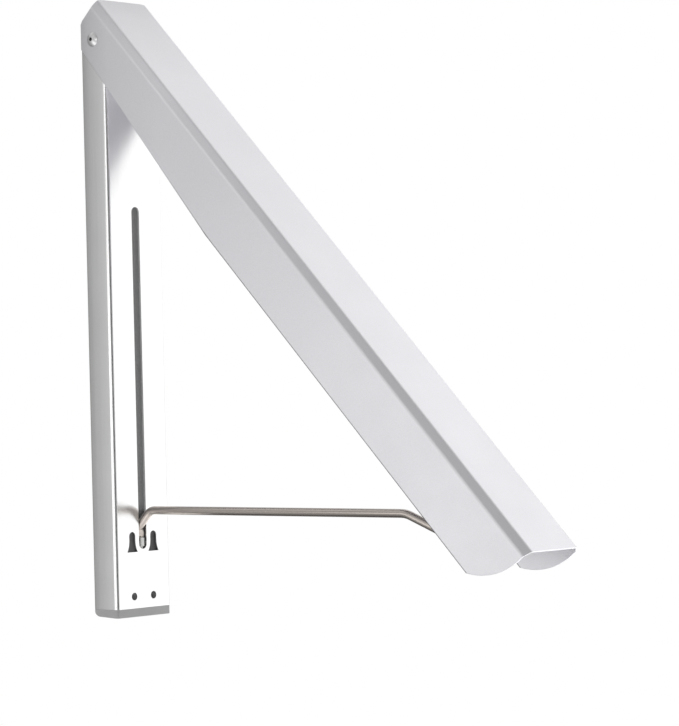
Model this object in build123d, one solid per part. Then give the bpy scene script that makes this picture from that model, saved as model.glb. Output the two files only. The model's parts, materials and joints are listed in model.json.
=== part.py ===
"""Wall mounted fold down drying rack: a slotted wall frame, a channel-shaped arm that swings down
from it on two rivets, and a hanger rod whose wall end slides in the frame's slot.

Millimetres. +X is to the right for someone facing the wall, +Y points into the wall, +Z is up.
The origin is on the wall, at the centre of the four wall screws.
The rack is modelled open, with its rod level and locked at the bottom of the slot.
"""

from math import asin, atan2, cos, degrees, hypot, radians, sin, sqrt, tan
import os

from build123d import *

# ---------------------------------------------------------------- driving dimensions
# wall frame: a channel with its web towards the room and two narrow lips on the wall
FRAME_WIDTH = 45.0
FRAME_DEPTH = 19.0
FRAME_BOTTOM = -157.9
FRAME_TOP = 179.5
FRAME_SHEET = 1.2
FRAME_FRONT_BEND = 2.2
FRAME_BACK_BEND = 1.6
LIP_INNER_X = 14.0
BOTTOM_CAP_THICKNESS = 5.0
BOTTOM_CAP_RISE = 1.1
BOTTOM_CORNER = 5.2
TOP_CAP_THICKNESS = 2.0
TOP_CORNER = 3.0

# gap left between parts that only just pass each other
FIT_GAP = 0.05

# pivot of the arm
PIVOT_Y = -11.0
PIVOT_Z = 173.0
RIVET_RADIUS = 2.5
RIVET_BORE = 1.1
RIVET_HEAD_RADIUS = 4.2
RIVET_HEAD_HEIGHT = 1.5
RIVET_TAIL = 1.0
RIVET_COLLAR_WIDTH = 0.9
RIVET_COLLAR_THICKNESS = 0.8
WASHER_RADIUS = 6.5
WASHER_THICKNESS = 0.45
BACKING_RADIUS = 4.6
BACKING_THICKNESS = 0.6

# slot and windows in the web
SLOT_WIDTH = 6.3
SLOT_BOTTOM = -123.7
SLOT_TOP = 76.0
WINDOW_X = 8.8
WINDOW_TOP = -113.4
WINDOW_BOTTOM = -125.2
WINDOW_FLARE = 6.7
WINDOW_NARROW = 5.0
WINDOW_WIDE = 8.6

# wall screws: four holes, two at each end, through the web and the end caps' bosses
SCREW_SPACING_X = 16.0
SCREW_SPACING_Z = 302.0
SCREW_HOLE_RADIUS = 2.25
BOSS_RADIUS = 4.6
BOSS_RIB_HALF_WIDTH = 1.1

# bottom cap's grips inside the flanges, and top cap's spigot
GRIP_HEIGHT = 13.0
GRIP_THICKNESS = 1.95
GRIP_FRONT_GAP = 1.5
GRIP_BACK_GAP = 0.5
SPIGOT_HALF_WIDTH = 14.0
SPIGOT_HEIGHT = 3.0
SPIGOT_BACK_GAP = 0.3

# arm: u runs down its length from the pivot, v stands out from it towards the room
ARM_OPEN_ANGLE = 44.0
ARM_CLOSED_ANGLE = 4.0
ARM_WIDTH = 48.0
ARM_SHEET = 1.0
ARM_CHAMFER = 4.0
ARM_BEND = 3.0
ARM_CORNER_X = 15.0
ARM_CORNER_DROP = 2.9
ARM_FRONT_V = 16.7
ARM_EDGE_V = -20.5
ARM_TOP_U = -16.6
ARM_TOP_BACK_STEP = 3.5
ARM_END_U = 421.9
ARM_END_BACK_STEP = 19.7
ARM_END_MIDDLE_STEP = 6.5
ARM_END_MIDDLE_V = -6.8
ARM_END_FRONT_STEP = 0.6
EAR_WALL_GAP_OPEN = 1.8
EAR_WALL_GAP_CLOSED = 0.6

# rod and its two pins
ROD_RADIUS = 2.4
ROD_Z = -101.1
ROD_DIP_Y = -217.0
ROD_DIP_SLOPE = 21.5
ROD_BEND_RADII = [8.0, 18.0, 18.0]
WALL_PIN_Y = -12.5
WALL_PIN_Z = -114.5
ARM_PIN_Y = -270.0
ARM_PIN_Z = -114.0
PIN_RADIUS = 1.5
WALL_EYE_RADIUS = 5.3
ARM_EYE_RADIUS = 4.2
EYE_WASHER_RADIUS = 3.4

# slide behind the web
SLIDE_GAP = 2.8
SLIDE_PLATE = 1.4
SLIDE_HALF_HEIGHT = 12.0
SLIDE_SHOE_HALF_WIDTH = 13.5
SLIDE_SHOE_CORNER = 2.0
SLIDE_SHOE_BLOCK = 2.0
SLIDE_CLEARANCE = 0.2
SLIDE_STUB_LENGTH = 3.9
CHEEK_SHEET = 1.2
CHEEK_BACK = 5.0
CHEEK_TOP = 7.0
CHEEK_INSET = 1.0
CHEEK_JOIN_FRONT = 3.6
CHEEK_JOIN_TOP = -8.0

# buffer at the foot of the slot
BUFFER_HALF_WIDTH = 1.25
BUFFER_NOSE_BELOW_PIN = 2.7
BUFFER_NOSE_ABOVE_SLOT = 1.6
BUFFER_STEM_BELOW_PIN = 4.8
BUFFER_STEM_THICKNESS = 1.0
BUFFER_FOOT_HALF_WIDTH = 10.0
BUFFER_FOOT_BELOW_SLOT = 5.0
BUFFER_FOOT_HEIGHT = 10.0
BUFFER_FOOT_THICKNESS = 3.0

# bracket inside the arm, its pin and the pin's clip
BRACKET_SHEET = 1.5
BRACKET_GAP = ROD_RADIUS + 0.45
BRACKET_TIP = 5.5
BRACKET_HALF_LENGTH = 13.0
PIN_HEAD_RIM = 1.2
PIN_HEAD_THICKNESS = 1.2
PIN_TAIL = 2.2
GROOVE_DEPTH = 0.4
GROOVE_START = 0.2
GROOVE_END = 1.0
CLIP_RADIUS = 3.4
CLIP_HALF_MOUTH = 0.8

# ---------------------------------------------------------------- derived places
HALF_FRAME = FRAME_WIDTH / 2
HALF_ARM = ARM_WIDTH / 2
WEB_FRONT = -FRAME_DEPTH
WEB_BACK = WEB_FRONT + FRAME_SHEET
SCREWS = [
    (x * SCREW_SPACING_X / 2, z * SCREW_SPACING_Z / 2) for x in (-1, 1) for z in (-1, 1)
]
OPEN = radians(ARM_OPEN_ANGLE)
CLOSED = radians(ARM_CLOSED_ANGLE)


def arm_to_rack(u, v):
    """The (y, z) place in the rack of a point on the open arm."""
    y = PIVOT_Y - u * sin(OPEN) - v * cos(OPEN)
    z = PIVOT_Z - u * cos(OPEN) + v * sin(OPEN)
    return y, z


def rack_to_arm(y, z):
    """The (u, v) place on the open arm of a point in the rack."""
    dy = y - PIVOT_Y
    dz = z - PIVOT_Z
    return -dy * sin(OPEN) - dz * cos(OPEN), -dy * cos(OPEN) + dz * sin(OPEN)


# Side view plane of the rack: local x is the rack's y, local y is its z, and it faces +X.
SIDE = Plane(origin=(0, 0, 0), x_dir=(0, 1, 0), z_dir=(1, 0, 0))

# Side view plane of the open arm: local x is u, local y is v, and it faces along X.
ARM_SIDE = Plane(
    origin=(0, PIVOT_Y, PIVOT_Z),
    x_dir=(0, -sin(OPEN), -cos(OPEN)),
    z_dir=(1, 0, 0),
)

# Across the arm: local x is the rack's X, local y is v, and it faces along u.
ARM_ACROSS = Plane(
    origin=(0, PIVOT_Y, PIVOT_Z),
    x_dir=(1, 0, 0),
    z_dir=(0, -sin(OPEN), -cos(OPEN)),
)

# Square to the open arm's front: local x is the rack's X, local y is -u, and it faces along v.
ARM_FACE = Plane(
    origin=(0, PIVOT_Y, PIVOT_Z),
    x_dir=(1, 0, 0),
    z_dir=(0, -cos(OPEN), sin(OPEN)),
)


def v_sign(plane):
    """+1 if the plane's local y points along the arm's v, -1 if against it."""
    v_direction = Vector(0, -cos(OPEN), sin(OPEN))
    return 1 if plane.y_dir.dot(v_direction) > 0 else -1


SIDE_V = v_sign(ARM_SIDE)
ACROSS_V = v_sign(ARM_ACROSS)


# ---------------------------------------------------------------- small shape helpers
def block(x0, x1, y0, y1, z0, z1):
    """A box between two corners."""
    solid = Box(x1 - x0, y1 - y0, z1 - z0, align=(Align.MIN, Align.MIN, Align.MIN))
    return Pos(x0, y0, z0) * solid


def x_cylinder(radius, x0, x1, y, z):
    """A cylinder along X between x0 and x1."""
    solid = Cylinder(radius, x1 - x0, align=(Align.CENTER, Align.CENTER, Align.MIN))
    return Pos(x0, y, z) * (Rot(0, 90, 0) * solid)


def y_cylinder(radius, y0, y1, x, z):
    """A cylinder along Y between y0 and y1."""
    solid = Cylinder(radius, y1 - y0, align=(Align.CENTER, Align.CENTER, Align.MIN))
    return Pos(x, y0, z) * (Rot(-90, 0, 0) * solid)


def side_plate(points, x0, x1):
    """A flat plate between x0 and x1 with a (y, z) outline."""
    face = make_face(Polyline(*points, close=True))
    return Pos(x0, 0, 0) * extrude(SIDE * face, x1 - x0)


def mirrored(solid):
    """A solid and its mirror image across the centre plane."""
    return [solid, mirror(solid, about=Plane.YZ)]


def in_arm(u0, u1, v0, v1, x0, x1):
    """A box on the arm, given in u, v and X."""
    low, high = sorted((SIDE_V * v0, SIDE_V * v1))
    face = Pos((u0 + u1) / 2, (low + high) / 2) * Rectangle(u1 - u0, high - low)
    return Pos(x0, 0, 0) * extrude(ARM_SIDE * face, x1 - x0)


# ---------------------------------------------------------------- wall frame
def channel_outline(inset):
    """The frame's outline seen from above, filled and with round corners, moved in by an inset."""
    half_width = HALF_FRAME - inset
    face = Pos(0, -FRAME_DEPTH / 2) * Rectangle(2 * half_width, FRAME_DEPTH - 2 * inset)
    front = face.vertices().sort_by(Axis.Y)[:2]
    face = fillet(front, FRAME_FRONT_BEND - inset)
    back = face.vertices().sort_by(Axis.Y)[-2:]
    return fillet(back, FRAME_BACK_BEND - inset)


def window_face():
    """A trumpet-shaped window: a round narrow top that flares towards a wide flat foot."""
    half_narrow = WINDOW_NARROW / 2
    half_wide = WINDOW_WIDE / 2
    arc_z = WINDOW_TOP - half_narrow
    flare_z = WINDOW_BOTTOM + WINDOW_FLARE
    foot_z = WINDOW_BOTTOM
    top = ThreePointArc((-half_narrow, arc_z), (0, WINDOW_TOP), (half_narrow, arc_z))
    right = Line((half_narrow, arc_z), (half_narrow, flare_z))
    right_flare = TangentArc((half_narrow, flare_z), (half_wide, foot_z), tangent=(0, -1))
    foot = Line((half_wide, foot_z), (-half_wide, foot_z))
    left_flare = TangentArc((-half_narrow, flare_z), (-half_wide, foot_z), tangent=(0, -1))
    left = Line((-half_narrow, flare_z), (-half_narrow, arc_z))
    return make_face([top, right, right_flare, foot, left_flare, left])


def through_web(face):
    """A face drawn in X and Z, made into a cutter that passes through the web."""
    front = Plane(origin=(0, WEB_FRONT - 1, 0), x_dir=(1, 0, 0), z_dir=(0, -1, 0))
    return extrude(front * face, -(FRAME_SHEET + 2))


def underside_cutter():
    """What is cut from the foot of the frame and its cap: a round corner beside the wall, and an
    underside that drops a little towards the room."""
    slope = atan2(BOTTOM_CAP_RISE, FRAME_DEPTH)
    wall_z = FRAME_BOTTOM - BOTTOM_CAP_THICKNESS + BOTTOM_CAP_RISE
    radius = BOTTOM_CORNER
    centre_z = wall_z - radius * tan(slope) + radius / cos(slope)
    start = (0, centre_z)
    middle_turn = radians(45) - slope / 2
    middle = (-radius + radius * cos(middle_turn), centre_z - radius * sin(middle_turn))
    end = (-radius + radius * sin(slope), centre_z - radius * cos(slope))
    room = (WEB_FRONT - 1, wall_z + (WEB_FRONT - 1) * tan(slope))
    low = FRAME_BOTTOM - 2 * BOTTOM_CAP_THICKNESS
    outline = [ThreePointArc(start, middle, end), Line(end, room), Line(room, (room[0], low))]
    outline += [Line((room[0], low), (1, low)), Line((1, low), (1, centre_z))]
    outline.append(Line((1, centre_z), start))
    return Pos(-HALF_ARM, 0, 0) * extrude(SIDE * make_face(outline), ARM_WIDTH)


def make_wall_frame():
    section = channel_outline(0) - channel_outline(FRAME_SHEET)
    section -= Rectangle(2 * LIP_INNER_X, 2 * FRAME_SHEET + 1)
    frame = Pos(0, 0, FRAME_BOTTOM) * extrude(section, FRAME_TOP - FRAME_BOTTOM)
    frame -= underside_cutter()
    slot_length = SLOT_TOP - SLOT_BOTTOM
    slot = Pos(0, (SLOT_TOP + SLOT_BOTTOM) / 2) * Rot(0, 0, 90) * SlotOverall(slot_length, SLOT_WIDTH)
    frame -= through_web(slot)
    for side in (-1, 1):
        frame -= through_web(Pos(side * WINDOW_X, 0) * window_face())
    for x, z in SCREWS:
        frame -= y_cylinder(SCREW_HOLE_RADIUS, WEB_FRONT - 1, WEB_BACK + 1, x, z)
    frame -= x_cylinder(RIVET_RADIUS, -HALF_FRAME - 1, HALF_FRAME + 1, PIVOT_Y, PIVOT_Z)
    return frame


def cap_plate(z0, z1):
    """An end cap's plate, with the frame's outline."""
    return Pos(0, 0, z0) * extrude(channel_outline(0), z1 - z0)


def screw_bosses(z, plate_z):
    """Two bosses from the web to the wall, each tied to the cap's plate by a rib."""
    low, high = sorted((z, plate_z))
    bosses = []
    for side in (-1, 1):
        x = side * SCREW_SPACING_X / 2
        boss = y_cylinder(BOSS_RADIUS, WEB_BACK, 0, x, z)
        rib = BOSS_RIB_HALF_WIDTH
        boss += block(x - rib, x + rib, WEB_BACK, 0, low, high)
        bosses.append(boss - y_cylinder(SCREW_HOLE_RADIUS, WEB_BACK - 1, 1, x, z))
    return bosses


def make_bottom_cap():
    """A moulded cap with a shallow tray that grips inside the flanges, and two screw bosses."""
    cap = cap_plate(FRAME_BOTTOM - BOTTOM_CAP_THICKNESS, FRAME_BOTTOM)
    for boss in screw_bosses(-SCREW_SPACING_Z / 2, FRAME_BOTTOM):
        cap += boss
    grip_outer = HALF_FRAME - FRAME_SHEET - FIT_GAP
    grip_front = WEB_BACK + GRIP_FRONT_GAP
    grip_back = -FRAME_SHEET - GRIP_BACK_GAP
    for side in (-1, 1):
        x0, x1 = sorted((side * grip_outer, side * (grip_outer - GRIP_THICKNESS)))
        cap += block(x0, x1, grip_front, grip_back, FRAME_BOTTOM, FRAME_BOTTOM + GRIP_HEIGHT)
    return cap - underside_cutter()


def make_top_cap():
    """A thin moulded cap with a short spigot between the rivets, and two screw bosses."""
    top = FRAME_TOP + TOP_CAP_THICKNESS
    cap = cap_plate(FRAME_TOP, top)
    corner = block(-HALF_ARM, HALF_ARM, -TOP_CORNER, 1, top - TOP_CORNER, top + 1)
    cap -= corner - x_cylinder(TOP_CORNER, -HALF_ARM, HALF_ARM, -TOP_CORNER, top - TOP_CORNER)
    spigot_front = WEB_BACK + FIT_GAP
    spigot_back = -FRAME_SHEET - SPIGOT_BACK_GAP
    spigot_x = SPIGOT_HALF_WIDTH
    cap += block(-spigot_x, spigot_x, spigot_front, spigot_back, FRAME_TOP - SPIGOT_HEIGHT, FRAME_TOP)
    for boss in screw_bosses(SCREW_SPACING_Z / 2, FRAME_TOP):
        cap += boss
    return cap


# ---------------------------------------------------------------- arm
def arm_section(half_width, front_v, edge_v, chamfer, bend):
    """The outline across the arm, filled, with its two front corners cut off and eased."""
    points = [
        (-half_width, edge_v),
        (-half_width, front_v - chamfer),
        (-half_width + chamfer, front_v),
        (half_width - chamfer, front_v),
        (half_width, front_v - chamfer),
        (half_width, edge_v),
    ]
    face = make_face(Polyline(*[(x, ACROSS_V * v) for x, v in points], close=True))
    bends = [p for p in face.vertices() if p.Y * ACROSS_V > front_v - chamfer - 0.1]
    return fillet(bends, bend)


def arm_profile():
    """The arm seen from the side. Two lines at its upper end keep it clear of the wall: one is upright
    when the arm is open, and one when it is closed. Its lower end is a curve."""
    reach_open = PIVOT_Y + EAR_WALL_GAP_OPEN
    reach_closed = PIVOT_Y + EAR_WALL_GAP_CLOSED
    tip_top = (ARM_TOP_U, ARM_FRONT_V + 1)
    shoulder = (ARM_TOP_U, ARM_FRONT_V - ARM_CHAMFER)
    top_back_u = ARM_TOP_U + ARM_TOP_BACK_STEP
    top_back = (top_back_u, (reach_open - top_back_u * sin(OPEN)) / cos(OPEN))
    # where the two wall lines meet: u sin + v cos = reach for both angles
    det = sin(OPEN) * cos(CLOSED) - cos(OPEN) * sin(CLOSED)
    heel = (
        (reach_open * cos(CLOSED) - reach_closed * cos(OPEN)) / det,
        (reach_closed * sin(OPEN) - reach_open * sin(CLOSED)) / det,
    )
    kink = ((reach_closed - ARM_EDGE_V * cos(CLOSED)) / sin(CLOSED), ARM_EDGE_V)
    end_start = (ARM_END_U - ARM_END_BACK_STEP, ARM_EDGE_V)
    end_middle = (ARM_END_U - ARM_END_MIDDLE_STEP, ARM_END_MIDDLE_V)
    end_front = (ARM_END_U - ARM_END_FRONT_STEP, ARM_FRONT_V - ARM_CHAMFER)
    tip = (ARM_END_U, ARM_FRONT_V + 1)

    def place(point):
        return point[0], SIDE_V * point[1]

    straight = [end_front, tip, tip_top, shoulder, top_back, heel, kink, end_start]
    edges = [Line(place(a), place(b)) for a, b in zip(straight, straight[1:])]
    edges.append(ThreePointArc(place(end_start), place(end_middle), place(end_front)))
    return make_face(edges)


def arm_front_view():
    """The arm seen square to its front, with its two upper corners rounded off."""
    side = HALF_ARM + 0.1
    low = -ARM_END_U - 10
    top = -ARM_TOP_U
    right = TangentArc((ARM_CORNER_X, top), (side, top - ARM_CORNER_DROP), tangent=(1, 0))
    left = TangentArc((-ARM_CORNER_X, top), (-side, top - ARM_CORNER_DROP), tangent=(-1, 0))
    edges = [left, Line((-ARM_CORNER_X, top), (ARM_CORNER_X, top)), right]
    edges.append(Line((side, top - ARM_CORNER_DROP), (side, low)))
    edges.append(Line((side, low), (-side, low)))
    edges.append(Line((-side, low), (-side, top - ARM_CORNER_DROP)))
    return make_face(edges)


def make_arm_cover():
    inner_chamfer = ARM_CHAMFER - ARM_SHEET * (2 - sqrt(2))
    across = arm_section(HALF_ARM, ARM_FRONT_V, ARM_EDGE_V - 5, ARM_CHAMFER, ARM_BEND)
    inner_front = ARM_FRONT_V - ARM_SHEET
    inner_bend = ARM_BEND - ARM_SHEET
    hollow = arm_section(HALF_ARM - ARM_SHEET, inner_front, ARM_EDGE_V - 6, inner_chamfer, inner_bend)
    length = ARM_END_U - ARM_TOP_U + 20
    start = ARM_TOP_U - 10
    tube = extrude(ARM_ACROSS.offset(start) * across, length)
    tube -= extrude(ARM_ACROSS.offset(start - 1) * hollow, length + 2)
    side = Pos(-HALF_ARM - 1, 0, 0) * extrude(ARM_SIDE * arm_profile(), ARM_WIDTH + 2)
    front = extrude(ARM_FACE.offset(-60) * arm_front_view(), 120)
    cover = tube & side & front
    hole = RIVET_RADIUS + FIT_GAP
    cover -= x_cylinder(hole, -HALF_ARM - 1, HALF_ARM + 1, PIVOT_Y, PIVOT_Z)
    return cover


# ---------------------------------------------------------------- pivot hardware
def make_rivet():
    """A hollow rivet on the left side, headed outside the arm and rolled over inside the frame."""
    outside = -HALF_ARM - FIT_GAP
    inside = -HALF_FRAME + FRAME_SHEET
    shank = x_cylinder(RIVET_RADIUS, outside, inside + RIVET_TAIL, PIVOT_Y, PIVOT_Z)
    ball = (RIVET_HEAD_RADIUS**2 + RIVET_HEAD_HEIGHT**2) / (2 * RIVET_HEAD_HEIGHT)
    dome = Pos(outside - RIVET_HEAD_HEIGHT + ball, PIVOT_Y, PIVOT_Z) * Sphere(ball)
    dome &= x_cylinder(RIVET_HEAD_RADIUS, outside - RIVET_HEAD_HEIGHT, outside, PIVOT_Y, PIVOT_Z)
    tail = inside + BACKING_THICKNESS
    collar_radius = RIVET_RADIUS + RIVET_COLLAR_WIDTH
    collar = x_cylinder(collar_radius, tail, tail + RIVET_COLLAR_THICKNESS, PIVOT_Y, PIVOT_Z)
    rivet = shank + dome + collar
    return rivet - x_cylinder(RIVET_BORE, outside - 3, inside + 3, PIVOT_Y, PIVOT_Z)


def ring(outer, inner, x0, x1, y, z):
    """A flat washer lying across X."""
    return x_cylinder(outer, x0, x1, y, z) - x_cylinder(inner, x0 - 1, x1 + 1, y, z)


# ---------------------------------------------------------------- rod
def rod_route():
    """The corners of the rod's centre line in (y, z), from the slide's pin to the arm's pin."""
    rise = ROD_Z - WALL_PIN_Z
    drop = ROD_Z - ARM_PIN_Z
    return [
        (WALL_PIN_Y, WALL_PIN_Z),
        (WALL_PIN_Y - rise, ROD_Z),
        (ROD_DIP_Y, ROD_Z),
        (ROD_DIP_Y - drop / tan(radians(ROD_DIP_SLOPE)), ARM_PIN_Z),
        (ARM_PIN_Y, ARM_PIN_Z),
    ]


def make_rod():
    """The bent rod, stopping at the rim of its two eyes' bores."""
    corners = rod_route()
    path = FilletPolyline(*[(0, y, z) for y, z in corners], radius=ROD_BEND_RADII)
    start = Plane(origin=path @ 0, z_dir=path % 0)
    rod = sweep(start * Circle(ROD_RADIUS), path=path)
    rod -= x_cylinder(WALL_EYE_RADIUS, -5, 5, WALL_PIN_Y, WALL_PIN_Z)
    rod -= x_cylinder(ARM_EYE_RADIUS, -5, 5, ARM_PIN_Y, ARM_PIN_Z)
    return rod


def make_eye(radius, bore, y, z):
    """An eye as thick as the rod, at one of its ends."""
    return ring(radius, bore, -ROD_RADIUS, ROD_RADIUS, y, z)


# ---------------------------------------------------------------- slide
def make_slide_clevis():
    """Two steel cheeks beside the rod's eye, joined low at the back where the rod never passes."""
    y0 = WEB_BACK + SLIDE_CLEARANCE + SLIDE_PLATE
    y1 = WALL_PIN_Y + CHEEK_BACK
    join_y = WALL_PIN_Y + CHEEK_JOIN_FRONT
    low = WALL_PIN_Z - SLIDE_HALF_HEIGHT + CHEEK_INSET
    outer = SLIDE_GAP + CHEEK_SHEET
    clevis = block(-outer, outer, join_y, y1, low, WALL_PIN_Z + CHEEK_JOIN_TOP)
    for side in (-1, 1):
        x0, x1 = sorted((side * SLIDE_GAP, side * outer))
        clevis += block(x0, x1, y0, y1, low, WALL_PIN_Z + CHEEK_TOP)
    return clevis - x_cylinder(PIN_RADIUS, -2 * outer, 2 * outer, WALL_PIN_Y, WALL_PIN_Z)


def make_slide_shoe():
    """The low-friction plate that runs up and down behind the web, as two halves beside the slot."""
    y0 = WEB_BACK + SLIDE_CLEARANCE
    low = WALL_PIN_Z - SLIDE_HALF_HEIGHT
    high = WALL_PIN_Z + SLIDE_HALF_HEIGHT
    y1 = y0 + SLIDE_PLATE
    half = block(SLIDE_GAP, SLIDE_SHOE_HALF_WIDTH, y0, y1, low, high)
    upright = half.edges().filter_by(Axis.Y).sort_by(Axis.X)[-2:]
    half = fillet(upright, SLIDE_SHOE_CORNER)
    x0 = SLIDE_GAP + CHEEK_SHEET
    x1 = x0 + SLIDE_SHOE_BLOCK
    back = WALL_PIN_Y + CHEEK_BACK
    half += block(x0, x1, y1, back, low + CHEEK_INSET, WALL_PIN_Z + CHEEK_TOP)
    return half - x_cylinder(PIN_RADIUS, 0, 2 * x1, WALL_PIN_Y, WALL_PIN_Z)


def make_slide_stub():
    """One of the two stub ends of the slide's pin, outside the rod's eye."""
    return x_cylinder(PIN_RADIUS, SLIDE_GAP, SLIDE_GAP + SLIDE_STUB_LENGTH, WALL_PIN_Y, WALL_PIN_Z)


def make_slide_pin_core():
    """The middle of the slide's pin, tight in the rod's eye."""
    return x_cylinder(PIN_RADIUS, -ROD_RADIUS, ROD_RADIUS, WALL_PIN_Y, WALL_PIN_Z)


def make_slot_buffer():
    """A snap-in block whose nose fills the bottom of the slot, under the rod's eye."""
    half = BUFFER_HALF_WIDTH
    nose_top = WALL_PIN_Z - BUFFER_NOSE_BELOW_PIN
    nose_bottom = SLOT_BOTTOM + BUFFER_NOSE_ABOVE_SLOT
    stem_top = WALL_PIN_Z - BUFFER_STEM_BELOW_PIN
    stem_back = WEB_BACK + BUFFER_STEM_THICKNESS
    foot_half = BUFFER_FOOT_HALF_WIDTH
    foot_top = SLOT_BOTTOM - BUFFER_FOOT_BELOW_SLOT
    foot_bottom = foot_top - BUFFER_FOOT_HEIGHT
    foot_back = WEB_BACK + BUFFER_FOOT_THICKNESS
    nose = block(-half, half, WEB_FRONT + 2 * FIT_GAP, WEB_BACK, nose_bottom, nose_top)
    stem = block(-half, half, WEB_BACK, stem_back, (foot_top + foot_bottom) / 2, stem_top)
    foot = block(-foot_half, foot_half, WEB_BACK, foot_back, foot_bottom, foot_top)
    return nose + stem + foot


# ---------------------------------------------------------------- arm's bracket
ARM_PIN_U, ARM_PIN_V = rack_to_arm(ARM_PIN_Y, ARM_PIN_Z)
INNER_FRONT_V = ARM_FRONT_V - ARM_SHEET
BRACKET_OUTER = BRACKET_GAP + BRACKET_SHEET


def make_bracket():
    """A folded bracket inside the arm's front, with two tapered ears for the rod's pin."""
    base_v = INNER_FRONT_V - BRACKET_SHEET
    outer = BRACKET_OUTER
    u0 = ARM_PIN_U - BRACKET_HALF_LENGTH
    u1 = ARM_PIN_U + BRACKET_HALF_LENGTH
    bracket = in_arm(u0, u1, base_v, INNER_FRONT_V, -outer, outer)
    corners = [
        (u0, base_v),
        (u1, base_v),
        (ARM_PIN_U + BRACKET_TIP, ARM_PIN_V),
        (ARM_PIN_U - BRACKET_TIP, ARM_PIN_V),
    ]
    for side in (-1, 1):
        x0, x1 = sorted((side * BRACKET_GAP, side * outer))
        bracket += side_plate([arm_to_rack(u, v) for u, v in corners], x0, x1)
        bracket += x_cylinder(BRACKET_TIP, x0, x1, ARM_PIN_Y, ARM_PIN_Z)
    return bracket - x_cylinder(PIN_RADIUS, -2 * outer, 2 * outer, ARM_PIN_Y, ARM_PIN_Z)


def make_arm_pin():
    """A headed pin through the bracket's ears and the rod's arm eye."""
    outer = BRACKET_OUTER
    pin = x_cylinder(PIN_RADIUS, -outer - PIN_HEAD_THICKNESS, outer + PIN_TAIL, ARM_PIN_Y, ARM_PIN_Z)
    head_radius = PIN_RADIUS + PIN_HEAD_RIM
    pin += x_cylinder(head_radius, -outer - PIN_HEAD_THICKNESS, -outer, ARM_PIN_Y, ARM_PIN_Z)
    groove_x = (outer + GROOVE_START, outer + GROOVE_END)
    return pin - ring(2 * PIN_RADIUS, PIN_RADIUS - GROOVE_DEPTH, *groove_x, ARM_PIN_Y, ARM_PIN_Z)


def make_pin_clip():
    """A C-shaped clip in the pin's groove."""
    x0 = BRACKET_OUTER + GROOVE_START + FIT_GAP
    x1 = BRACKET_OUTER + GROOVE_END - FIT_GAP
    clip = ring(CLIP_RADIUS, PIN_RADIUS - GROOVE_DEPTH, x0, x1, ARM_PIN_Y, ARM_PIN_Z)
    y0 = ARM_PIN_Y - CLIP_HALF_MOUTH
    y1 = ARM_PIN_Y + CLIP_HALF_MOUTH
    return clip - block(x0 - 1, x1 + 1, y0, y1, ARM_PIN_Z - 2 * CLIP_RADIUS, ARM_PIN_Z)


# ---------------------------------------------------------------- the set of parts
washer_x = (-HALF_FRAME - WASHER_THICKNESS, -HALF_FRAME)
backing_x = (-HALF_FRAME + FRAME_SHEET, -HALF_FRAME + FRAME_SHEET + BACKING_THICKNESS)
eye_washer_x = (ROD_RADIUS + FIT_GAP, BRACKET_GAP)
right_shoe = make_slide_shoe()

PARTS = {
    "wall_frame": make_wall_frame(),
    "bottom_cap": make_bottom_cap(),
    "top_cap": make_top_cap(),
    "slot_buffer": make_slot_buffer(),
    "pivot_rivets": mirrored(make_rivet()),
    "pivot_washers": mirrored(ring(WASHER_RADIUS, RIVET_RADIUS, *washer_x, PIVOT_Y, PIVOT_Z)),
    "backing_washers": mirrored(ring(BACKING_RADIUS, RIVET_RADIUS, *backing_x, PIVOT_Y, PIVOT_Z)),
    "arm_cover": make_arm_cover(),
    "rod_bracket": make_bracket(),
    "arm_pin": make_arm_pin(),
    "arm_pin_clip": make_pin_clip(),
    "hanger_rod": make_rod(),
    "rod_wall_eye": make_eye(WALL_EYE_RADIUS, PIN_RADIUS, WALL_PIN_Y, WALL_PIN_Z),
    "rod_arm_eye": make_eye(ARM_EYE_RADIUS, PIN_RADIUS + FIT_GAP, ARM_PIN_Y, ARM_PIN_Z),
    "slide_pin_core": make_slide_pin_core(),
    "eye_washers": mirrored(
        ring(EYE_WASHER_RADIUS, PIN_RADIUS, *eye_washer_x, ARM_PIN_Y, ARM_PIN_Z)
    ),
    "slide_clevis": make_slide_clevis(),
    "slide_shoe_left": mirror(right_shoe, about=Plane.YZ),
    "slide_shoe_right": right_shoe,
    "slide_pin_stubs": mirrored(make_slide_stub()),
}

# travel of the folding linkage, for the record of its joints
fold = ARM_OPEN_ANGLE - ARM_CLOSED_ANGLE
rod_length = hypot(ARM_PIN_Y - WALL_PIN_Y, ARM_PIN_Z - WALL_PIN_Z)
closed_pin_y = PIVOT_Y - ARM_PIN_U * sin(CLOSED) - ARM_PIN_V * cos(CLOSED)
closed_pin_z = PIVOT_Z - ARM_PIN_U * cos(CLOSED) + ARM_PIN_V * sin(CLOSED)
closed_tilt = asin((WALL_PIN_Y - closed_pin_y) / rod_length)
slide_travel = closed_pin_z + rod_length * cos(closed_tilt) - WALL_PIN_Z
open_slope = atan2(ARM_PIN_Z - WALL_PIN_Z, WALL_PIN_Y - ARM_PIN_Y)
rod_turn = 90 - degrees(closed_tilt) + degrees(open_slope)
print("arm folds", fold, "degrees; rod turns", round(rod_turn - fold, 4), "on the arm")
print("slide travels", round(slide_travel, 4), "mm; arm pin at u, v", ARM_PIN_U, ARM_PIN_V)

os.makedirs("parts", exist_ok=True)
for name, shape in PARTS.items():
    whole = Compound(shape) if isinstance(shape, list) else shape
    export_step(whole, f"parts/{name}.step")
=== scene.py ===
"""Looks of the fold-down drying rack: finishes with softened edges, studio light and the camera.

Metres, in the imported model's frame: +X to the right facing the wall, +Y into the wall, +Z up.
"""

import json
from math import cos, radians, sin

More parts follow.
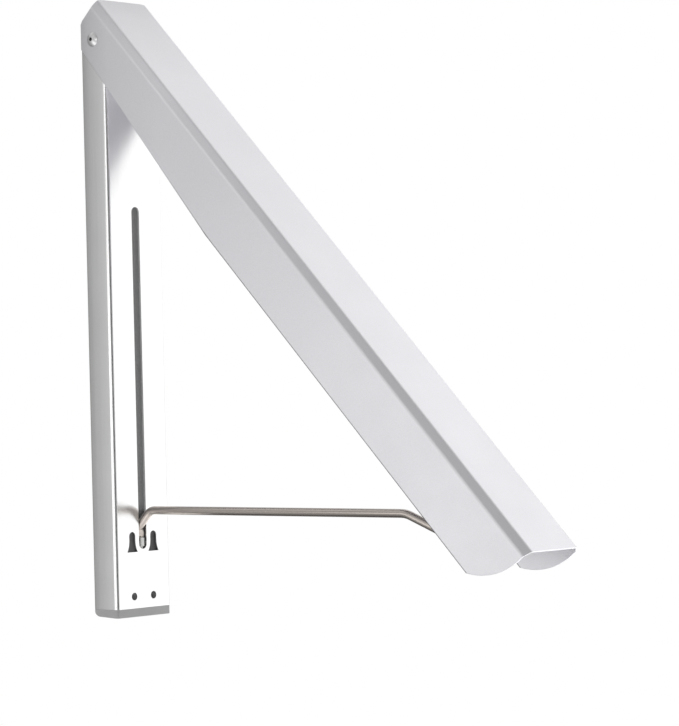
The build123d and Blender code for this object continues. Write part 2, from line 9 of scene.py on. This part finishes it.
import bpy
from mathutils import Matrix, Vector


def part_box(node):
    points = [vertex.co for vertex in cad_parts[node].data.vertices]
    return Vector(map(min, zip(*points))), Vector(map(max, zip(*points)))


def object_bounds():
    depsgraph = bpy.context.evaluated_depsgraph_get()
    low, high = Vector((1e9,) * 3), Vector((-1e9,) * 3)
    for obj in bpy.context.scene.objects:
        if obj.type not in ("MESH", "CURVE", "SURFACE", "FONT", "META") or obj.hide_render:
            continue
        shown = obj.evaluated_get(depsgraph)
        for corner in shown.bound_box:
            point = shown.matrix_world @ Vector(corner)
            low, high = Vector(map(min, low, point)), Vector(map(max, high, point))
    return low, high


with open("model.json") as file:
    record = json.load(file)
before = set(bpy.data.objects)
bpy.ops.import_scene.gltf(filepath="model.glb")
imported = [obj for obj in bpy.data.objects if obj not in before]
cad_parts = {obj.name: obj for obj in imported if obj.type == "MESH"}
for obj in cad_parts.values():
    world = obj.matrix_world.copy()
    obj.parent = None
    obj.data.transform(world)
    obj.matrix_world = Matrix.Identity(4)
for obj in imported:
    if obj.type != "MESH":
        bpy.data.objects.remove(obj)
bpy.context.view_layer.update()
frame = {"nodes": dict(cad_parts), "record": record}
NODES = frame["nodes"]

# ---------------------------------------------------------------- driving values
# The lens and its sensor are in millimetres. The camera turns by these degrees about x, y and z, from
# looking straight down.
FOCAL_LENGTH = 150.1
SENSOR_WIDTH = 36.0
CAMERA_PLACE = (-1.27574, -1.24828, -0.02812)
CAMERA_TURN = (90.328, 1.379, -49.850)

FLOOR_DROP = 0.85
FLOOR_RADIUS = 0.9
FLOOR_CENTRE_Y = -0.85
FLOOR_SIDES = 96
FLOOR_GLOW = 0.5
WHITE = (1.0, 1.0, 1.0, 1.0)

# Most of a noise's values lie between these, so a finish changes between them.
NOISE_LOW = 0.3
NOISE_HIGH = 0.7

# How far moulded plastic's roughness strays to either side.
PLASTIC_STRAY = 0.06

# Painted shade: how bright the metal's colour is at distances from the wall, in metres, darker near the
# wall.
WALL_REACH = 0.09
WALL_SHADE_FRAME = [(0.0, 0.58), (0.006, 0.79), (0.018, 1.0)]
WALL_SHADE_ARM = [(0.0, 0.66), (0.008, 0.80), (0.022, 0.91), (0.06, 1.0)]

# The free edges of the arm's flanges, below and above their bend: how many degrees they lean from
# upright, how wide and how dark the painted shade line along them is, and where it fades out towards
# the wall.
ARM_EDGE_LEANS = [44.0, 40.0]
ARM_EDGE_SHADE_WIDTH = 0.0008
ARM_EDGE_SHADE_TONE = 0.18
ARM_EDGE_SHADE_FADE = (0.05, 0.10)

# Radii of the edges that are rounded in the shader, and how many samples the rounding takes.
ARM_SOFT_EDGE = 0.0005
FRAME_SOFT_EDGE = 0.0002
SOFT_EDGE_SAMPLES = 6

# The room around the rack: a level everywhere, and panels as (towards, start, full, strength),
# where start and full are cosines of the angle from the panel's middle.
ROOM_LEVEL = 0.30
ROOM_PANELS = [
    ((0.76, -0.64, 0.0), 0.62, 0.92, 0.85),
    ((0.75, 0.02, 0.67), 0.60, 0.92, 0.67),
    ((-0.76, 0.64, 0.0), 0.60, 0.95, 0.20),
    ((-0.87, 0.16, 0.48), 0.86, 0.97, 0.40),
    ((-0.94, -0.34, 0.0), 0.952, 0.992, 1.50),
    ((-0.46, -0.23, 0.86), 0.80, 0.97, 0.05),
    ((0.76, 0.02, -0.65), 0.80, 0.95, 1.50),
    ((-0.76, 0.02, -0.65), 0.90, 0.98, 1.40),
    ((0.10, 0.65, -0.75), 0.80, 0.95, -0.14),
    ((-0.20, 0.65, 0.73), 0.88, 0.98, 0.55),
    ((0.10, -0.99, 0.0), 0.78, 0.94, -0.28),
    ((-0.60, -0.62, -0.50), 0.89, 0.97, 0.46),
]

# Lamps as (name, the end of the arm that it lights, place from that end, size, power). The lower end is
# taken a little above the arm's lowest point.
ARM_END_RISE = 0.03
LAMPS = [
    ("left_lamp", "lower", (-0.78, 0.54, 0.0), 0.4, 0.47),
    ("right_lamp", "lower", (0.76, -0.02, 0.64), 0.5, 0.16),
    ("top_lamp", "upper", (-0.33, -0.09, 0.73), 0.4, 0.26),
]


# ---------------------------------------------------------------- node helpers
def grey(value):
    return (value, value, value)


class Nodes:
    """Short calls for the shader nodes that this script uses, in one node tree."""

    # A Mix node's colour sockets share their names with its number sockets.
    MIX_FIRST = 6
    MIX_SECOND = 7
    MIX_RESULT = 2

    def __init__(self, tree):
        self.tree = tree

    def feed(self, socket, value):
        """Gives a socket a constant, or another node's output."""
        if isinstance(value, bpy.types.NodeSocket):
            self.tree.links.new(value, socket)
        else:
            socket.default_value = value

    def add(self, kind, inputs=None, **settings):
        """A new node, with its inputs by name or number."""
        node = self.tree.nodes.new(kind)
        for name, value in settings.items():
            setattr(node, name, value)
        for key, value in (inputs or {}).items():
            self.feed(node.inputs[key], value)
        return node

    def mapped(self, value, start, end, low, high, curve="LINEAR"):
        """A value that goes from low to high while another goes from start to end."""
        inputs = {"Value": value, "From Min": start, "From Max": end, "To Min": low, "To Max": high}
        return self.add("ShaderNodeMapRange", inputs, interpolation_type=curve).outputs["Result"]

    def along(self, vector, way):
        """How far a vector goes along a way."""
        node = self.add("ShaderNodeVectorMath", {0: vector, 1: way}, operation="DOT_PRODUCT")
        return node.outputs["Value"]

    def noise(self, vector, scale, detail, roughness=0.5):
        inputs = {"Vector": vector, "Scale": scale, "Detail": detail, "Roughness": roughness}
        return self.add("ShaderNodeTexNoise", inputs).outputs["Fac"]

    def ramp(self, value, stops):
        """A colour ramp through (position, colour) stops."""
        node = self.add("ShaderNodeValToRGB", {"Fac": value})
        elements = node.color_ramp.elements
        while len(elements) < len(stops):
            elements.new(0.5)
        for element, (position, colour) in zip(elements, stops):
            element.position = position
            element.color = (*colour, 1.0)
        return node.outputs["Color"]

    def blend(self, noise, low, high):
        """A colour that goes from low to high with a noise."""
        return self.ramp(noise, [(NOISE_LOW, low), (NOISE_HIGH, high)])

    def spread(self, noise, low, high):
        """A number that goes from low to high with a noise."""
        return self.mapped(noise, NOISE_LOW, NOISE_HIGH, low, high)

    def times(self, colour, factor):
        """A colour multiplied by a grey value."""
        inputs = {"Factor": 1.0, self.MIX_FIRST: colour, self.MIX_SECOND: factor}
        node = self.add("ShaderNodeMix", inputs, data_type="RGBA", blend_type="MULTIPLY")
        return node.outputs[self.MIX_RESULT]

    def soft_edges(self, radius):
        """The surface's normal with its sharp edges rounded a little."""
        node = self.add("ShaderNodeBevel", {"Radius": radius}, samples=SOFT_EDGE_SAMPLES)
        return node.outputs["Normal"]

    def bump(self, height, strength, distance, below=None):
        """A bumped normal, on top of another normal if one is given."""
        inputs = {"Height": height, "Strength": strength, "Distance": distance}
        if below is not None:
            inputs["Normal"] = below
        return self.add("ShaderNodeBump", inputs).outputs["Normal"]


class Finish(Nodes):
    """A new material's nodes, and its places on the piece that wears it."""

    def __init__(self, name):
        self.material = bpy.data.materials.new(name)
        self.material.use_nodes = True
        super().__init__(self.material.node_tree)
        self.place = self.add("ShaderNodeTexCoord").outputs["Object"]

    def surface(self, values):
        """Gives the surface shader's sockets their constants and outputs, and returns the material."""
        shader = self.tree.nodes["Principled BSDF"]
        for name, value in values.items():
            self.feed(shader.inputs[name], value)
        return self.material

    def stretched(self, scale):
        """The place, scaled by a different amount along each axis."""
        return self.add("ShaderNodeMapping", {"Vector": self.place, "Scale": scale}).outputs["Vector"]

    def off_wall(self, near, far, low, high):
        """A value that goes from low to high between two distances from the wall."""
        y = self.add("ShaderNodeSeparateXYZ", {"Vector": self.place}).outputs["Y"]
        return self.mapped(y, -near, -far, low, high)

    def painted_wall_shade(self, stops):
        """Painted shade: a grey ramp over the distance from the wall, in metres up to WALL_REACH, that
        darkens the colour towards the wall.
        """
        greys = [(distance / WALL_REACH, grey(value)) for distance, value in stops]
        return self.ramp(self.off_wall(0.0, WALL_REACH, 0.0, 1.0), greys)

    def painted_edge_shade(self, lean, tone):
        """Painted shade: a grey that falls to a tone beside the arm's free edge that leans so far from
        upright.
        """
        inwards = Vector((0.0, -cos(radians(lean)), sin(radians(lean))))
        edge = min(corner.co.dot(inwards) for corner in NODES["arm_cover"].data.vertices)
        inside = self.along(self.place, inwards)
        return self.mapped(inside, edge, edge + ARM_EDGE_SHADE_WIDTH, tone, 1.0, "SMOOTHSTEP")


# ---------------------------------------------------------------- finishes
def silver_paint():
    """Satin silver powder coat: fine grain, faint clouding, with painted shade that darkens it beside
    the wall, and a thin dark painted shade line along the flanges' free edges."""
    finish = Finish("silver_paint")
    grain = finish.noise(finish.place, scale=2600.0, detail=2.0)
    cloud = finish.noise(finish.place, scale=26.0, detail=3.0)
    flecks = finish.blend(grain, (0.805, 0.80, 0.83), (0.865, 0.86, 0.89))
    # Painted shade: the colour darkens towards the wall.
    colour = finish.times(flecks, finish.painted_wall_shade(WALL_SHADE_ARM))
    # Painted shade: a thin dark line along the flanges' free edges, fading out towards the wall.
    line = finish.off_wall(*ARM_EDGE_SHADE_FADE, 1.0, ARM_EDGE_SHADE_TONE)
    for lean in ARM_EDGE_LEANS:
        colour = finish.times(colour, finish.painted_edge_shade(lean, line))
    rounded = finish.soft_edges(ARM_SOFT_EDGE)
    grained = finish.bump(grain, strength=0.25, distance=0.00008, below=rounded)
    return finish.surface({
        "Base Color": colour,
        "Roughness": finish.spread(cloud, 0.36, 0.44),
        "Metallic": 0.7,
        "Normal": finish.bump(cloud, strength=0.03, distance=0.0006, below=grained),
    })


def frame_metal():
    """Bright smooth aluminium with very faint drawing lines, and painted shade that darkens it towards
    the wall.
    """
    finish = Finish("frame_metal")
    upright = finish.stretched((900.0, 900.0, 6.0))
    lines = finish.noise(upright, scale=1.0, detail=4.0, roughness=0.6)
    cloud = finish.noise(finish.place, scale=40.0, detail=3.0)
    bright = finish.blend(lines, grey(0.93), grey(0.96))
    rounded = finish.soft_edges(FRAME_SOFT_EDGE)
    return finish.surface({
        # Painted shade: the colour darkens towards the wall.
        "Base Color": finish.times(bright, finish.painted_wall_shade(WALL_SHADE_FRAME)),
        "Roughness": finish.spread(cloud, 0.22, 0.27),
        "Metallic": 1.0,
        "Normal": finish.bump(lines, strength=0.02, distance=0.00005, below=rounded),
    })


def rod_steel():
    """Bright drawn stainless wire, a little brown, with fine lines along it."""
    finish = Finish("rod_steel")
    outwards = finish.stretched((1500.0, 12.0, 1500.0))
    lines = finish.noise(outwards, scale=1.0, detail=3.0, roughness=0.6)
    return finish.surface({
        "Base Color": finish.blend(lines, (0.46, 0.41, 0.38), (0.56, 0.51, 0.47)),
        "Roughness": finish.spread(lines, 0.18, 0.28),
        "Metallic": 1.0,
        "Normal": finish.bump(lines, strength=0.1, distance=0.00005),
    })


def zinc_steel():
    """Zinc plated steel: soft patches over a fine grain."""
    finish = Finish("zinc_steel")
    patches = finish.noise(finish.place, scale=350.0, detail=3.0)
    return finish.surface({
        "Base Color": finish.blend(patches, grey(0.48), grey(0.62)),
        "Roughness": finish.spread(patches, 0.32, 0.46),
        "Metallic": 1.0,
        "Normal": finish.bump(patches, strength=0.08, distance=0.0001),
    })


def rivet_chrome():
    """Bright plated rivets with faint handling marks."""
    finish = Finish("rivet_chrome")
    marks = finish.noise(finish.place, scale=900.0, detail=4.0)
    return finish.surface({
        "Base Color": finish.blend(marks, grey(0.63), grey(0.69)),
        "Roughness": finish.spread(marks, 0.30, 0.38),
        "Metallic": 1.0,
        "Normal": finish.bump(marks, strength=0.06, distance=0.00005),
    })


def moulded_plastic(name, low, high, roughness):
    """Moulded plastic with a fine spark-eroded grain. Its colour clouds between low and high."""
    finish = Finish(name)
    grain = finish.noise(finish.place, scale=1800.0, detail=2.0)
    cloud = finish.noise(finish.place, scale=60.0, detail=2.0)
    return finish.surface({
        "Base Color": finish.blend(cloud, low, high),
        "Roughness": finish.spread(grain, roughness - PLASTIC_STRAY, roughness + PLASTIC_STRAY),
        "Normal": finish.bump(grain, strength=0.2, distance=0.00008),
    })


def floor_white():
    """A matt pale floor with a slight glow."""
    finish = Finish("floor_white")
    mottle = finish.noise(finish.place, scale=6.0, detail=2.0)
    return finish.surface({
        "Base Color": finish.blend(mottle, grey(0.88), grey(0.90)),
        "Roughness": 0.8,
        "Emission Color": WHITE,
        "Emission Strength": FLOOR_GLOW,
    })


FINISHES = {
    "arm_silver": silver_paint(),
    "frame_metal": frame_metal(),
    "rod_steel": rod_steel(),
    "hidden_steel": zinc_steel(),
    "rivet_chrome": rivet_chrome(),
    "cap_grey": moulded_plastic("cap_grey", grey(0.39), grey(0.43), roughness=0.55),
    "slide_black": moulded_plastic("slide_black", grey(0.07), grey(0.09), roughness=0.45),
    "nylon": moulded_plastic("nylon", (0.74, 0.74, 0.72), (0.80, 0.80, 0.78), roughness=0.42),
}

for part in frame["record"]["subparts"]:
    materials = NODES[part["node"]].data.materials
    materials.clear()
    materials.append(FINISHES[part["material_slot"]])


# ---------------------------------------------------------------- stage, light and camera
def make_floor():
    """A pale round floor well below the rack."""
    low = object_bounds()[0]
    centre = (0, FLOOR_CENTRE_Y, low[2] - FLOOR_DROP)
    bpy.ops.mesh.primitive_circle_add(
        vertices=FLOOR_SIDES, radius=FLOOR_RADIUS, fill_type="NGON", location=centre
    )
    floor = bpy.context.object
    floor.name = "floor"
    floor.data.materials.append(floor_white())


def area_light(name, place, target, size, power):
    """A square lamp that faces its target."""
    data = bpy.data.lights.new(name, "AREA")
    data.shape = "SQUARE"
    data.size = size
    data.energy = power
    lamp = bpy.data.objects.new(name, data)
    lamp.location = place
    lamp.rotation_euler = (target - place).to_track_quat("-Z", "Y").to_euler()
    bpy.context.scene.collection.objects.link(lamp)


def make_lamps():
    """Three weak lamps around the two ends of the arm."""
    low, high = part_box("arm_cover")
    ends = {
        "lower": Vector((0.0, low[1], low[2] + ARM_END_RISE)),
        "upper": Vector((0.0, 0.0, high[2])),
    }
    for name, end, offset, size, power in LAMPS:
        area_light(name, ends[end] + Vector(offset), ends[end], size, power)


def make_world():
    """A white backdrop for the camera, and for light and reflections a dim room with soft panels."""
    world = bpy.data.worlds.new("studio")
    world.use_nodes = True
    nodes = Nodes(world.node_tree)
    direction = nodes.add("ShaderNodeTexCoord").outputs["Generated"]
    level = ROOM_LEVEL
    for towards, start, full, strength in ROOM_PANELS:
        facing = nodes.along(direction, Vector(towards).normalized())
        panel = nodes.mapped(facing, start, full, 0.0, strength, "SMOOTHSTEP")
        level = nodes.add("ShaderNodeMath", {0: level, 1: panel}, operation="ADD").outputs["Value"]
    room = world.node_tree.nodes["Background"]
    nodes.feed(room.inputs["Color"], WHITE)
    nodes.feed(room.inputs["Strength"], level)
    backdrop = nodes.add("ShaderNodeBackground", {"Color": WHITE})
    to_camera = nodes.add("ShaderNodeLightPath").outputs["Is Camera Ray"]
    shaders = {"Fac": to_camera, 1: room.outputs["Background"], 2: backdrop.outputs["Background"]}
    seen = nodes.add("ShaderNodeMixShader", shaders).outputs["Shader"]
    nodes.feed(world.node_tree.nodes["World Output"].inputs["Surface"], seen)
    bpy.context.scene.world = world


def make_camera():
    """A long lens, left of the rack and level with it."""
    data = bpy.data.cameras.new("camera")
    data.lens = FOCAL_LENGTH
    data.sensor_width = SENSOR_WIDTH
    camera = bpy.data.objects.new("camera", data)
    camera.location = CAMERA_PLACE
    camera.rotation_euler = [radians(angle) for angle in CAMERA_TURN]
    bpy.context.scene.collection.objects.link(camera)
    bpy.context.scene.camera = camera


make_floor()
make_lamps()
make_world()
make_camera()
bpy.context.scene.view_settings.view_transform = "Standard"
